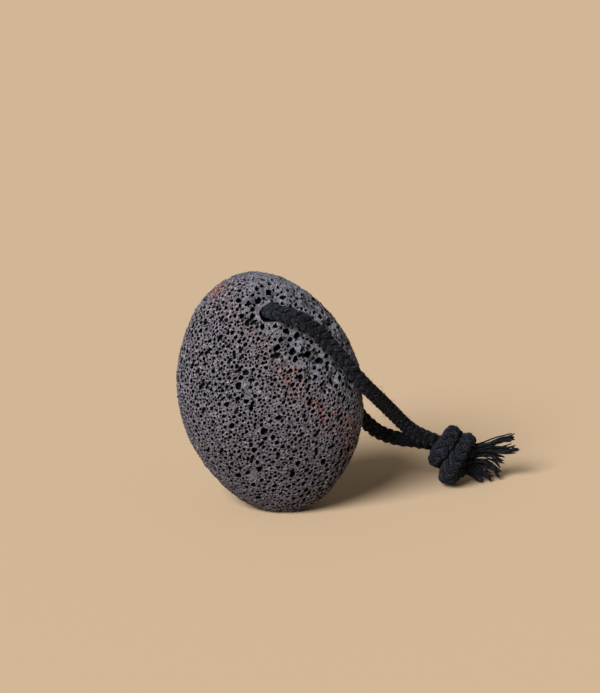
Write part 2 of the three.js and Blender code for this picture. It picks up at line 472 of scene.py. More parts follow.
class MeshMaker:
    """Collects tubes into one mesh, with a UV that runs along and around each tube."""

    def __init__(self):
        self.verts, self.faces, self.uvs, self.count = [], [], [], 0

    def add_tube(self, rings, along, offset=0.0):
        n, sides = rings.shape[:2]
        self.verts.append(rings.reshape(-1, 3))
        base = self.count
        for i in range(n - 1):
            for k in range(sides):
                k2 = (k + 1) % sides
                a, b = base + i * sides + k, base + i * sides + k2
                c, d = a + sides, b + sides
                self.faces.append((a, b, d, c))
                u0, u1 = k / sides + offset, (k + 1) / sides + offset
                v0, v1 = along[i] / MM, along[i + 1] / MM
                self.uvs += [u0, v0, u1, v0, u1, v1, u0, v1]
        self.faces.append(tuple(base + k for k in reversed(range(sides))))
        self.uvs += [offset, along[0] / MM] * sides
        last = base + (n - 1) * sides
        self.faces.append(tuple(last + k for k in range(sides)))
        self.uvs += [offset, along[-1] / MM] * sides
        self.count += n * sides

    def make(self, name):
        piece = new_piece(name, np.vstack(self.verts), self.faces)
        layer = piece.data.uv_layers.new(name="along_and_around")
        layer.data.foreach_set("uv", np.array(self.uvs, np.float32))
        work_on(piece)
        bpy.ops.object.mode_set(mode="EDIT")
        bpy.ops.mesh.select_all(action="SELECT")
        bpy.ops.mesh.normals_make_consistent(inside=False)
        bpy.ops.object.mode_set(mode="OBJECT")
        bpy.ops.object.shade_smooth()
        return piece


whole_line, rope_size, rope_from, rope_to = whole_rope_line(LINE_STEP)
strands, strand_along = braid_strands(whole_line, rope_size)

rope_maker = MeshMaker()
knot_maker = MeshMaker()
for number, rings in enumerate(strands):
    rope_maker.add_tube(rings[rope_from:rope_to + 1], strand_along[rope_from:rope_to + 1], number)
    knot_maker.add_tube(rings[:rope_from + 1], strand_along[:rope_from + 1], number)
    knot_maker.add_tube(rings[rope_to:], strand_along[rope_to:], number)
inner = smooth_line(INNER_STRAND, LINE_STEP)
for rings in braid_strands(inner[:, :3] * MM, inner[:, 3])[0]:
    knot_maker.add_tube(rings, arc(inner[:, :3] * MM))
rope = rope_maker.make("braided_rope")
knot = knot_maker.make("tied_knot")

# ------------------------ frayed ends and fuzz

loose = np.random.default_rng(23)
YARN_SIDES = 6
# Each tuft is its middle line from the knot, how many yarns, and how far they spread.
UPPER_TUFTS = [
    ([(74.2, 30.8, 13.2), (84.0, 31.5, 15.2), (89.9, 33.0, 16.7), (95.5, 34.0, 17.6)], 14, 0.85),
    ([(74.2, 30.8, 12.6), (84.8, 32.0, 13.6), (91.0, 33.0, 12.9), (97.0, 34.0, 13.6)], 16, 0.95),
]
LOWER_TUFTS = [
    ([(73.8, 30.8, 10.8), (83.0, 32.5, 11.6), (88.5, 33.5, 10.8), (91.2, 34.5, 9.4)], 9, 1.0),
    ([(73.8, 30.6, 9.4), (83.6, 32.0, 10.4), (87.9, 33.0, 9.2), (91.2, 34.0, 6.8)], 14, 1.15),
    ([(73.8, 30.6, 8.2), (83.2, 31.0, 7.9), (87.3, 31.8, 5.9), (89.8, 32.4, 3.0)], 17, 1.25),
    ([(73.8, 30.4, 7.2), (81.8, 30.2, 5.9), (84.9, 31.0, 3.6), (86.6, 31.8, 1.3)], 17, 1.25),
    ([(73.8, 30.2, 6.2), (79.6, 29.6, 4.0), (81.6, 29.8, 2.4), (83.0, 30.4, 1.0)], 15, 1.2),
]


def tube_rings(line, radii, sides):
    """Round sections along a line."""
    side, across = carried_frames(line)
    turn = np.linspace(0, 2 * math.pi, sides, endpoint=False)
    ring = (np.cos(turn)[None, :, None] * side[:, None, :]
            + np.sin(turn)[None, :, None] * across[:, None, :])
    return line[:, None, :] + ring * np.asarray(radii)[:, None, None]


def add_tuft(maker, middle, count, spread_out):
    for _ in range(count):
        turn, reach = loose.uniform(0, 2 * math.pi), math.sqrt(loose.random())
        offset = np.array((0, math.cos(turn), math.sin(turn))) * reach
        wander = loose.normal(0, 1, (4, 3)) * np.array([[0.1], [0.35], [0.5], [0.7]])
        opening = np.array([1.5, 1.7, 1.9, 2.1])[:, None] * spread_out / 1.25
        points = np.array(middle, float) + offset * opening + wander
        shorten = loose.uniform(0.80, 1.0)
        points[3] = points[2] + (points[3] - points[2]) * shorten
        points[:, 2] = np.maximum(points[:, 2], 0.45)
        line = smooth_line(points * MM, 0.8 * MM)
        share = np.linspace(0, 1, len(line))
        curl = loose.uniform(0.05, 0.16) * MM
        twist = loose.uniform(0, 6) + share * loose.uniform(8, 16)
        line[:, 1] += curl * np.sin(twist)
        line[:, 2] = np.maximum(line[:, 2] + curl * np.cos(twist), 0.4 * MM)
        width = loose.uniform(0.32, 0.50) * MM
        radii = width * (1 - 0.35 * share)
        radii[-1] *= 0.45
        maker.add_tube(tube_rings(line, radii, YARN_SIDES), arc(line), loose.random())
        for _ in range(2):
            start = loose.integers(len(line) // 2, len(line) - 1)
            heading = unit(line[-1] - line[-3]) + loose.normal(0, 0.35, 3)
            length = loose.uniform(0.8, 2.0) * MM
            steps = np.linspace(0, 1, 5)[:, None]
            bend = loose.normal(0, 0.35, 3) * MM
            fibre = line[start] + heading * length * steps + bend * steps ** 2
            fibre[:, 2] = np.maximum(fibre[:, 2], 0.15 * MM)
            maker.add_tube(tube_rings(fibre, np.linspace(0.09, 0.03, 5) * MM, 3), arc(fibre))


def make_tassel(name, tufts):
    maker = MeshMaker()
    for middle, count, spread_out in tufts:
        add_tuft(maker, middle, count, spread_out)
    return maker.make(name)


def make_fuzz(name, line, size, count):
    """Fine stray fibres all along the rope."""
    maker = MeshMaker()
    side, across = carried_frames(line)
    tangent = unit(np.gradient(line, axis=0))
    for _ in range(count):
        i = loose.integers(2, len(line) - 2)
        turn = loose.uniform(0, 2 * math.pi)
        outward = math.cos(turn) * side[i] + math.sin(turn) * across[i]
        around = np.cross(tangent[i], outward)
        start = line[i] + outward * 2.55 * MM * size[i]
        heading = (outward * loose.uniform(0.25, 0.8) + tangent[i] * loose.normal(0, 0.7)
                   + around * loose.normal(0, 0.7))
        length = loose.uniform(0.7, 2.4) * MM
        steps = np.linspace(0, 1, 5)[:, None]
        bend = (loose.normal(0, 0.35, 3) - 0.2 * outward) * MM
        fibre = start + heading * length * steps + bend * steps ** 2
        fibre[:, 2] = np.maximum(fibre[:, 2], 0.05 * MM)
        maker.add_tube(tube_rings(fibre, np.linspace(0.035, 0.015, 5) * MM, 3), arc(fibre))
    return maker.make(name)


upper_tassel = make_tassel("frayed_yarns_upper", UPPER_TUFTS)
lower_tassel = make_tassel("frayed_yarns_lower", LOWER_TUFTS)
fuzz = make_fuzz("rope_fuzz", whole_line, rope_size, 1500)


def cotton_material():
    material = bpy.data.materials.new("black_cotton")
    material.use_nodes = True
    tree = material.node_tree
    bsdf = tree.nodes["Principled BSDF"]
    coords = add_node(tree, "ShaderNodeTexCoord")
    around_along = coords.outputs["UV"]
    place = coords.outputs["Object"]
    yarns = add_node(tree, "ShaderNodeMapping", Vector=around_along, Scale=(7, 0.9, 1),
                     Rotation=(0, 0, math.radians(12))).outputs[0]
    lines = grain(tree, yarns, 1.6, 2, 0.5)
    fibres = grain(tree, add_node(tree, "ShaderNodeMapping", Vector=around_along,
                                  Scale=(26, 1.6, 1)).outputs[0], 2.2, 3, 0.6)
    lint = grain(tree, place, 1100, 4, 0.7)
    specks = grain(tree, place, 1900, 1, 0.5)
    fade = grain(tree, place, 160, 3)
    colour = blend_colours(tree, spread(tree, fade, 0.3, 0.7), COTTON_BLACK, COTTON_BLUE)
    colour = blend_colours(tree, spread(tree, fibres, 0.5, 0.8, 0.0, 0.8), colour, COTTON_WORN)
    colour = blend_colours(tree, spread(tree, lint, 0.50, 0.66, 0.0, 0.8), colour, COTTON_WORN)
    colour = blend_colours(tree, spread(tree, specks, 0.62, 0.70, 0.0, 0.8), colour, COTTON_FLECK)
    tree.links.new(colour, bsdf.inputs["Base Color"])
    bsdf.inputs["Roughness"].default_value = 0.95
    bsdf.inputs["Specular IOR Level"].default_value = 0.12
    bsdf.inputs["Sheen Weight"].default_value = 0.06
    bsdf.inputs["Sheen Roughness"].default_value = 0.4
    bsdf.inputs["Sheen Tint"].default_value = (0.6, 0.7, 1.0, 1)
    height = combine(tree, "ADD", lines, combine(tree, "MULTIPLY", fibres, 0.7))
    height = combine(tree, "ADD", height, combine(tree, "MULTIPLY", lint, 0.8))
    bump = add_node(tree, "ShaderNodeBump", Height=height, Strength=1.0, Distance=0.6 * MM)
    tree.links.new(bump.outputs["Normal"], bsdf.inputs["Normal"])
    return material


COTTON_BLACK = (0.0026, 0.0028, 0.0040, 1)
COTTON_BLUE = (0.0060, 0.0074, 0.0125, 1)
COTTON_WORN = (0.030, 0.035, 0.050, 1)
COTTON_FLECK = (0.10, 0.11, 0.14, 1)
cotton = cotton_material()
for piece in (rope, knot, upper_tassel, lower_tassel, fuzz):
    piece.data.materials.append(cotton)
    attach(piece, "root")
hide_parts("rope")
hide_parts("knot")
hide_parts("frayed_end_upper")
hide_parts("frayed_end_lower")


# ------------------------ the stone

HALF_LENGTH, HALF_WIDTH, HALF_THICKNESS = 47.5 * MM, 35.0 * MM, 19.0 * MM
OUTLINE_POWER, RIM_POWER, EGG = 1.82, 2.2, -0.035
LEAN = math.radians(11.5)
STONE_CENTRE = np.array((0.065, 0.0, 45.536)) * MM
LENGTHWISE = np.array((-math.sin(LEAN), 0.0, math.cos(LEAN)))
CROSSWISE = np.array((math.cos(LEAN), 0.0, math.sin(LEAN)))
THROUGH = np.array((0.0, 1.0, 0.0))
MOUTH_AT = np.array((0.2, 79.8)) * MM
MOUTH_WIDE, MOUTH_HIGH = 3.9 * MM, 3.35 * MM
MOUTH_POINTS = 20
DISH_START, DISH_END = np.array((2.0, -13.0, 80.0)) * MM, np.array((34.0, -7.0, 50.0)) * MM
DISH_DEPTH, DISH_REACH = 1.6 * MM, 15.0 * MM

chance = np.random.default_rng(11)


def pebble_points(turn, lift):
    """Places on the smooth pebble: turn goes round its outline, lift from back to front."""
    c, s = np.cos(turn), np.sin(turn)
    reach = np.cos(lift) ** (2 / RIM_POWER)
    along = HALF_LENGTH * np.sign(c) * np.abs(c) ** (2 / OUTLINE_POWER) * reach
    across = HALF_WIDTH * np.sign(s) * np.abs(s) ** (2 / OUTLINE_POWER) * reach
    along = along * (1 + EGG * across / HALF_WIDTH)
    depth = HALF_THICKNESS * np.sin(lift)
    return (STONE_CENTRE + along[..., None] * LENGTHWISE + across[..., None] * CROSSWISE
            + depth[..., None] * THROUGH)


def local_places(points):
    """Along, across and through the stone, in millimetres from its middle."""
    offset = (points - STONE_CENTRE) / MM
    return offset @ LENGTHWISE, offset @ CROSSWISE, offset @ THROUGH


def pebble_depth(points):
    """How far inside the smooth pebble each point is, in metres, near its surface."""
    def gauge(p):
        offset = p - STONE_CENTRE
        along, across, through = offset @ LENGTHWISE, offset @ CROSSWISE, offset @ THROUGH
        along = along / (1 + EGG * across / HALF_WIDTH)
        outline = ((np.abs(along) / HALF_LENGTH) ** OUTLINE_POWER
                   + (np.abs(across) / HALF_WIDTH) ** OUTLINE_POWER) ** (1 / OUTLINE_POWER)
        return (outline ** RIM_POWER + (np.abs(through) / HALF_THICKNESS) ** 2)
    value = gauge(points)
    tiny = 0.02 * MM
    slope = np.stack([(gauge(points + tiny * axis) - gauge(points - tiny * axis)) / (2 * tiny)
                      for axis in np.eye(3)], axis=1)
    steep = np.linalg.norm(slope, axis=1)
    return (1 - value) / np.maximum(steep, 1e-6), -unit(slope)


def pebble_face(along, across, side):
    """The place on the front (-1) or back (1) of the pebble over a local place in mm."""
    along, across = np.asarray(along, float) * MM, np.asarray(across, float) * MM
    level = along / (1 + EGG * across / HALF_WIDTH)
    outline = ((np.abs(level) / HALF_LENGTH) ** OUTLINE_POWER
               + (np.abs(across) / HALF_WIDTH) ** OUTLINE_POWER) ** (1 / OUTLINE_POWER)
    depth = HALF_THICKNESS * np.sqrt(np.maximum(1 - outline ** RIM_POWER, 0.0))
    return (STONE_CENTRE + along[..., None] * LENGTHWISE + across[..., None] * CROSSWISE
            + side * depth[..., None] * THROUGH)


def distance_to_path(along, across, path):
    """How far local places are from a line through the path's points, in mm."""
    place = np.stack([along, across], axis=1)
    best = np.full(len(place), 1e9)
    for a, b in zip(np.array(path[:-1], float), np.array(path[1:], float)):
        t = np.clip((place - a) @ (b - a) / ((b - a) @ (b - a)), 0, 1)
        best = np.minimum(best, np.linalg.norm(place - a - t[:, None] * (b - a), axis=1))
    return best


def inside_patch(along, across, corners):
    """Whether local places are inside an outline."""
    inside = np.zeros(len(along), bool)
    for (a1, c1), (a2, c2) in zip(corners, corners[1:] + corners[:1]):
        crosses = (c1 > across) != (c2 > across)
        edge = (a2 - a1) * (across - c1) / (c2 - c1 + 1e-12) + a1
        inside ^= crosses & (along < edge)
    return inside


# Places are (across, along) from the stone's middle in mm, here with a radius.
NAMED_PORES = [
    (-4, -8.5, 1.45), (-10, 10, 1.3), (-6, 14.5, 1.1), (-8.5, 12.8, 0.9), (-15.5, 4, 1.2),
    (-15.5, -4.5, 1.2), (-10, -13, 0.95), (-1.5, -11.5, 0.9), (-0.3, -13.9, 0.8),
    (1.5, -15.7, 0.95), (-7, 1, 0.8), (-8, 4, 0.95), (-26.5, 4.5, 0.95), (2, -4.5, 0.85),
    (-17.5, -25, 1.1), (14.5, -26, 1.15), (5.5, -24, 1.05), (12.8, 22.9, 1.4),
    (15.4, 23.8, 1.1), (7, 21.2, 1.35), (6.8, 18.2, 1.0), (12.3, 18.5, 1.2),
    (17.8, 16, 1.75), (12.5, 15.4, 0.9), (21.8, 12.6, 1.5), (24.2, 10.6, 1.1), (28.5, 1, 1.1),
    (26, -2, 1.0), (25.5, 28, 1.1), (25.5, 23.5, 1.25), (8.5, 43, 1.0), (11.5, 41.2, 0.9),
    (8, 40.6, 1.1), (-0.5, 38.4, 1.25), (0.2, 33.8, 0.9), (-2.1, 32.3, 0.9), (1.3, 30, 0.95),
    (3.2, 29.6, 0.9), (7.7, 28.8, 0.95), (11.6, 26.2, 1.05), (9.1, 23.6, 1.0), (20, 20, 0.9),
    (31, 15, 1.0), (-9.3, -23.5, 1.0), (-9.2, -20.4, 0.8), (-9.2, -15.2, 0.85),
    (2.5, -28, 0.95), (14.2, -1.6, 0.8), (13.9, 0.3, 0.8), (-27, 13.7, 0.75),
    (31, -4.7, 1.2), (13, 33, 1.3), (13, 37.8, 1.3),
]
SMOOTH_PATCHES = [(-6.6, 9.6, 2.3), (-7.2, 6, 1.6), (-4.5, 3, 1.4), (-13.5, 2.5, 1.6),
                  (-12.5, -25, 2.4), (13.5, 13, 1.8), (20, 14, 1.6), (3, 36, 2.0), (4.5, 33, 1.6)]
# From here on places are (along, across) in mm.
COARSE_PATCH = [
    (41, -4), (46, 5.5), (44, 16), (34, 27), (20, 34), (8.4, 33.6), (-2.8, 34), (-2.2, 28.3),
    (6.1, 20.2), (11.4, 11.9), (16.6, 5.6), (23.3, 5.1), (29.2, 0.7), (34.6, -4.1),
]
RED_BAND = [(43.4, -10.8), (34, -4), (25, 2.1), (9, 9.6), (-2, 14), (-9, 17.5), (-14, 22),
            (-18, 27), (-25, 25)]
# Lines of rust, each through (across, along) places.
RUST_LINES = [
    [(6.5, 13.3), (8.3, 9.5), (8.5, 6)], [(9.5, 12), (12, 11.2)], [(16.2, -0.5), (17.7, -4)],
    [(18.5, -5), (17, -9.7)], [(18.8, -8.6), (23, -7.8), (26, -11.4), (28.3, -16.5)],
    [(23.3, -19.8), (25.2, -26)], [(-13, 42), (-8.5, 45)],
]


FLOW = unit(np.array((0.6, 0.0, 0.8)))
FLOW_SHARE = 0.62


def coarse_share(points):
    """1 in the coarse part of the stone, 0 in the fine part, on both faces."""
    along, across, through = local_places(points)
    inside = inside_patch(along, across, COARSE_PATCH)
    edge = distance_to_path(along, across, COARSE_PATCH + COARSE_PATCH[:1])
    front = np.where(inside, 0.5 + edge / 4, 0.5 - edge / 4)
    back = 0.5 + (along - 20 - 0.9 * across) / 12
    back_share = ease((through + 4) / 8)
    return ease(front * (1 - back_share) + back * back_share)


def distance_from_mouth(points):
    """1 at the rim of the rope's hole, seen along it."""
    return np.hypot((points[:, 0] - MOUTH_AT[0]) / MOUTH_WIDE,
                    (points[:, 2] - MOUTH_AT[1]) / MOUTH_HIGH)


def even_candidates(count):
    """Places spread evenly over the pebble's skin, in chance order."""
    turns = np.linspace(0, 2 * math.pi, 361)
    lifts = np.linspace(-math.pi / 2, math.pi / 2, 181)
    grid = pebble_points(*np.meshgrid(turns, lifts, indexing="ij"))
    du, dv = grid[1:, :-1] - grid[:-1, :-1], grid[:-1, 1:] - grid[:-1, :-1]
    area = np.linalg.norm(np.cross(du, dv), axis=2).ravel()
    cell = chance.choice(len(area), size=count, p=area / area.sum())
    i, j = np.divmod(cell, len(lifts) - 1)
    turn = turns[i] + chance.random(count) * (turns[1] - turns[0])
    lift = lifts[j] + chance.random(count) * (lifts[1] - lifts[0])
    return pebble_points(turn, lift)


CANDIDATES = 90000


def place_pores():
    """The middle and radius of every pore, none closer to another than a wall."""
    places, radii, rooms = [], [], []

    def hole_ring(side):
        turn = np.linspace(0, 2 * math.pi, MOUTH_POINTS, endpoint=False)
        uneven = 1 + 0.06 * np.sin(2 * turn + 1) + 0.05 * np.sin(5 * turn)
        x = MOUTH_AT[0] + MOUTH_WIDE * uneven * np.cos(turn)
        z = MOUTH_AT[1] + MOUTH_HIGH * uneven * np.sin(turn)
        flat = np.stack([x, np.zeros_like(x), z], axis=1)
        along, across, _ = local_places(flat)
        return pebble_face(along, across, side)

    for side in (-1, 1):
        places += list(hole_ring(side))
        radii += [0.0] * MOUTH_POINTS
        rooms += [0.55 * MM] * MOUTH_POINTS
    for across, along, size in NAMED_PORES:
        places.append(pebble_face(along, across, -1))
        radii.append(size * MM)
        rooms.append((size + 0.15) * MM)

    skin = even_candidates(CANDIDATES)
    share = coarse_share(skin)
    along, across, through = local_places(skin)
    from_hole = distance_from_mouth(skin)
    kind = chance.random(len(skin))
    size = np.where(kind < 0.45, 0.36 + 0.34 * chance.random(len(skin)) ** 1.5,
                    chance.uniform(0.22, 0.34, len(skin)))
    coarse = chance.random(len(skin)) < 0.7 * share
    size = np.where(coarse & (kind < 0.45), chance.uniform(0.58, 1.20, len(skin)), size)
    left_out = (kind >= 0.45) & (chance.random(len(skin)) < 0.93 * share)
    for patch_across, patch_along, reach in SMOOTH_PATCHES:
        near = np.hypot(across - patch_across, along - patch_along) < reach
        left_out |= near & (through < 0) & (chance.random(len(skin)) < 0.97)
    rare = chance.random(len(skin)) < np.where(through > -3, 0.0020, 0.0) * (1 + 2 * share)
    size = np.where(rare, chance.uniform(0.85, 1.5, len(skin)), size) * MM
    wall = chance.uniform(0.03, 0.13, len(skin)) * MM
    rank = np.where(rare, 0, np.where(kind < 0.45, 1, 2))
    grid = {}
    cell = 2.0 * MM

    def neighbours(point, reach):
        low = np.floor((point - reach) / cell).astype(int)
        high = np.floor((point + reach) / cell).astype(int)
        for i in range(low[0], high[0] + 1):
            for j in range(low[1], high[1] + 1):
                for k in range(low[2], high[2] + 1):
                    yield from grid.get((i, j, k), ())

    def remember(number):
        key = tuple(np.floor(places[number] / cell).astype(int))
        grid.setdefault(key, []).append(number)

    for number in range(len(places)):
        remember(number)
    largest = 2.0 * MM
    for n in np.argsort(rank, kind="stable"):
        if from_hole[n] < 1.18 or left_out[n]:
            continue
        point, room = skin[n], size[n] + wall[n]
        x, y, z = point
        clear = True
        for other in neighbours(point, room + largest):
            p = places[other]
            need = room + rooms[other]
            dx, dy, dz = x - p[0], y - p[1], z - p[2]
            drawn = (dx * FLOW[0] + dy * FLOW[1] + dz * FLOW[2]) * FLOW_SHARE
            if dx * dx + dy * dy + dz * dz - drawn * drawn < need * need:
                clear = False
                break
        if clear:
            places.append(point)
            radii.append(size[n])
            rooms.append(room)
            remember(len(places) - 1)
    return np.array(places), np.array(radii)


def pull_hull(places):
    """A skin over all the places."""
    piece = new_piece("pumice_stone", places)
    work_on(piece)
    bpy.ops.object.mode_set(mode="EDIT")
    bpy.ops.mesh.select_all(action="SELECT")
    bpy.ops.mesh.convex_hull(join_triangles=False)
    bpy.ops.mesh.beautify_fill(angle_limit=math.pi)
    bpy.ops.object.mode_set(mode="OBJECT")
    return piece


def pick_faces(mesh, wanted):
    """Selects exactly the wanted faces, from object mode."""
    mesh.vertices.foreach_set("select", np.zeros(len(mesh.vertices), bool))
    mesh.edges.foreach_set("select", np.zeros(len(mesh.edges), bool))
    mesh.polygons.foreach_set("select", wanted)


def read_edges(mesh):
    ends = np.zeros(len(mesh.edges) * 2, np.int32)
    mesh.edges.foreach_get("vertices", ends)
    return ends.reshape(-1, 2)


def drill_hole(piece):
    """Opens the two mouths and walls the hole between them."""
    mesh = piece.data
    ring = 2 * MOUTH_POINTS
    wanted = [all(v < ring for v in face.vertices) for face in mesh.polygons]
    pick_faces(mesh, wanted)
    work_on(piece)
    bpy.ops.object.mode_set(mode="EDIT")
    bpy.ops.mesh.select_mode(type="FACE")
    bpy.ops.mesh.delete(type="FACE")
    bpy.ops.object.mode_set(mode="OBJECT")
    bpy.ops.object.mode_set(mode="EDIT")
    bpy.ops.mesh.select_mode(type="EDGE")
    bpy.ops.mesh.select_all(action="DESELECT")
    bpy.ops.mesh.select_non_manifold()
    bpy.ops.mesh.bridge_edge_loops(number_cuts=7, smoothness=0, interpolation="LINEAR")
    bpy.ops.object.mode_set(mode="OBJECT")


def fit_radii(places, radii, ends):
    """Grows each pore to its room, and keeps each from its neighbours."""
    length = np.linalg.norm(places[ends[:, 0]] - places[ends[:, 1]], axis=1)
    total, count = np.zeros(len(places)), np.zeros(len(places))
    for side in (0, 1):
        np.add.at(total, ends[:, side], length)
        np.add.at(count, ends[:, side], 1)
    roomy = total / np.maximum(count, 1)
    patch = np.array([noise.noise(Vector(p) / (6 * MM)) for p in places])
    lower = ease((-8 - local_places(places)[0]) / 20)
    grow = (0.53 - 0.05 * coarse_share(places) + 0.05 * patch + 0.10 * lower
            + chance.uniform(-0.05, 0.04, len(places))) * roomy
    radii = np.clip(grow, radii, (1.4 + 0.2 * lower) * radii)
    for _ in range(3):
        pair = radii[ends]
        larger = np.minimum(pair.max(axis=1), 0.78 * length)
        smaller = np.minimum(pair.min(axis=1), np.maximum(0.95 * length - larger, 0.1 * length))
        limit = np.where(pair[:, :1] >= pair[:, 1:], np.stack([larger, smaller], axis=1),
                         np.stack([smaller, larger], axis=1))
        for side in (0, 1):
            np.minimum.at(radii, ends[:, side], limit[:, side])
    return radii


def open_pores(piece, places, radii):
    """Cuts each place into a pore's mouth, as a bevel of that corner of the skin."""
    mesh = piece.data
    weights = np.zeros(len(mesh.vertices), np.float32)
    weights[:len(radii)] = radii / radii.max()
    attribute = mesh.attributes.new("bevel_weight_vert", "FLOAT", "POINT")
    attribute.data.foreach_set("value", weights)
    for _ in range(3):
        mesh.materials.append(stone_material)
    piece.active_material_index = 2
    apply_modifier(piece, "BEVEL", affect="VERTICES", offset_type="ABSOLUTE", width=radii.max(),
                   segments=1, limit_method="WEIGHT", use_clamp_overlap=False, material=1)


def mouth_faces(mesh):
    marks = np.zeros(len(mesh.polygons), np.int32)
    mesh.polygons.foreach_get("material_index", marks)
    area = np.zeros(len(mesh.polygons))
    mesh.polygons.foreach_get("area", area)
    return marks == 1, np.sqrt(area / math.pi)


def roughen_mouths(mesh, places, radii, ends):
    """Draws each mouth out along the stone's flow, makes it uneven, and joins some pairs."""
    points = read_points(mesh)
    tree = KDTree(len(points))
    for index, point in enumerate(points):
        tree.insert(point, index)
    tree.balance()
    length = np.linalg.norm(places[ends[:, 1]] - places[ends[:, 0]], axis=1)
    heading = unit(places[ends[:, 1]] - places[ends[:, 0]])
    with_flow = (heading @ FLOW) ** 2
    share = coarse_share((places[ends[:, 0]] + places[ends[:, 1]]) / 2)
    ragged = (0.16 + 0.14 * share)[:, None] * chance.uniform(-1, 1, (len(ends), 2))
    reach = radii[ends] * (0.92 + 0.32 * with_flow)[:, None] * (0.96 + ragged)
    reach *= np.where(radii[ends] > 0.85 * MM, chance.uniform(0.82, 1.08, (len(ends), 2)), 1)
    both = reach.sum(axis=1)
    reach *= np.minimum(0.95 * length / np.maximum(both, 1e-9), 1)[:, None]
    dips = chance.uniform(0, 1, (len(ends), 2)) * (0.16 + 0.14 * share)[:, None] * MM
    close = (both > 0.86 * length) & (radii[ends].min(axis=1) > 0.32 * MM)
    likely = np.maximum(0.20 * (with_flow > 0.55) * (1 - share), 0.12 * share)
    joined = close & (chance.random(len(ends)) < likely)
    dips[joined] = chance.uniform(0.40, 0.80, (joined.sum(), 1)) * MM
    moved, shifts, sinks = [], [], []
    for n, (i, j) in enumerate(ends):
        for side, start, way in ((0, i, heading[n]), (1, j, -heading[n])):
            if radii[start] == 0:
                continue
            _, index, gap = tree.find(places[start] + radii[start] * way)
            if gap < 0.02 * MM:
                moved.append(index)
                shifts.append((reach[n, side] - radii[start]) * way)
                sinks.append(dips[n, side])
    _, inward = pebble_depth(points[moved])
    points[moved] += np.array(shifts) + inward * np.array(sinks)[:, None]
    write_points(mesh, points)


def deepen(piece, low, high, share, steps, point):
    """Sinks a share of the mouths between two radii by insets, and then to a point."""
    mesh = piece.data
    is_mouth, radius = mouth_faces(mesh)
    picked = is_mouth & (radius >= low * MM) & (radius < high * MM)
    pick_faces(mesh, picked & (chance.random(len(picked)) < share))
    work_on(piece)
    bpy.ops.object.mode_set(mode="EDIT")
    bpy.ops.mesh.select_mode(type="FACE")
    bpy.ops.object.material_slot_assign()
    for width, depth in steps:
        bpy.ops.mesh.inset(thickness=width * MM, depth=-depth * MM, use_individual=True)
    bpy.ops.mesh.poke(offset=-point * MM)
    bpy.ops.object.mode_set(mode="OBJECT")


def raise_nodes(piece):
    """Lifts or sinks the middle of each wall node between three pores."""
    mesh = piece.data
    marks = np.zeros(len(mesh.polygons), np.int32)
    mesh.polygons.foreach_get("material_index", marks)
    middles = np.array([face.center for face in mesh.polygons])
    depth, _ = pebble_depth(middles)
    many = np.array([len(face.vertices) > 4 for face in mesh.polygons])
    pick_faces(mesh, (marks == 0) & many & (depth < 0.6 * MM))
    before = len(mesh.vertices)
    work_on(piece)
    bpy.ops.object.mode_set(mode="EDIT")
    bpy.ops.mesh.select_mode(type="FACE")
    bpy.ops.mesh.poke()
    bpy.ops.object.mode_set(mode="OBJECT")
    points = read_points(mesh)
    _, inward = pebble_depth(points[before:])
    lift = chance.uniform(-0.12, 0.32, len(points) - before) * MM
    depth, _ = pebble_depth(points[before:])
    lift[depth > 0.21 * MM] = -0.35 * MM
    points[before:] -= inward * lift[:, None]
    write_points(mesh, points)


def bowls():
    """The wide shallow hollows of the coarse part: place, reach and depth."""
    rows = []
    for across, along, reach, depth in COARSE_BOWLS:
        rows.append((pebble_face(along, across, -1), reach * MM, depth * MM))
    for point in even_candidates(60):
        share = coarse_share(point[None, :])[0]
        _, _, through = local_places(point[None, :])
        if through[0] > 0 and share > 0.3 or chance.random() < 0.3 and through[0] > -12:
            rows.append((point, chance.uniform(1.8, 3.8) * MM, chance.uniform(0.4, 1.2) * MM))
    return rows


# Each is (across, along, reach, depth) in mm.
COARSE_BOWLS = [
    (13, 21, 3.6, 1.5), (20, 14, 3.2, 1.4), (6.5, 19.5, 2.8, 1.0), (13.5, 28, 3.0, 1.1),
    (24, 20, 3.0, 1.2), (29, 8, 3.0, 1.0), (3.5, 37, 3.4, 1.5), (10.5, 38.5, 3.0, 1.3),
    (-1.5, 33, 2.6, 1.0), (28, 23, 2.8, 1.2), (31, 0, 2.8, 0.9), (25, 5, 2.6, 1.0),
    (9, 14, 2.4, 0.9), (18, 37, 2.6, 1.0), (17, 9, 2.6, 0.9), (16, 33, 2.4, 0.9),
    (22, 28, 2.6, 1.0), (21, 2, 2.4, 0.7), (33, 13, 2.6, 0.9), (-2, 40, 2.4, 0.9),
    (-9, 11.5, 3.0, 0.8), (-5, 8.5, 3.2, 0.7), (-13, 3, 2.4, 0.5), (-12, -25, 3.4, 0.6),
]


def shape_skin(mesh):
    """Hollows and swells, moved along the pebble's own normals."""
    points = read_points(mesh)
    _, inward = pebble_depth(points)
    shift = np.zeros(len(points))
    for place, reach, depth in bowls():
        gap = np.linalg.norm(points - place, axis=1) / reach
        shift += 1.4 * depth * np.maximum(1 - gap ** 2, 0)
    t = np.clip((points - DISH_START) @ (DISH_END - DISH_START)
                / ((DISH_END - DISH_START) @ (DISH_END - DISH_START)), 0, 1)
    gap = np.linalg.norm(points - DISH_START - t[:, None] * (DISH_END - DISH_START), axis=1)
    shift += DISH_DEPTH * np.maximum(1 - (gap / DISH_REACH) ** 2, 0) ** 2
    for reach, height in SWELLS:
        shift += height * MM * np.array([noise.noise(Vector(p) / (reach * MM)) for p in points])
    points += inward * shift[:, None]
    write_points(mesh, points)


SWELLS = [(16, 0.30), (5.0, 0.24), (1.9, 0.16)]


ROPE_GAP = 0.35 * MM


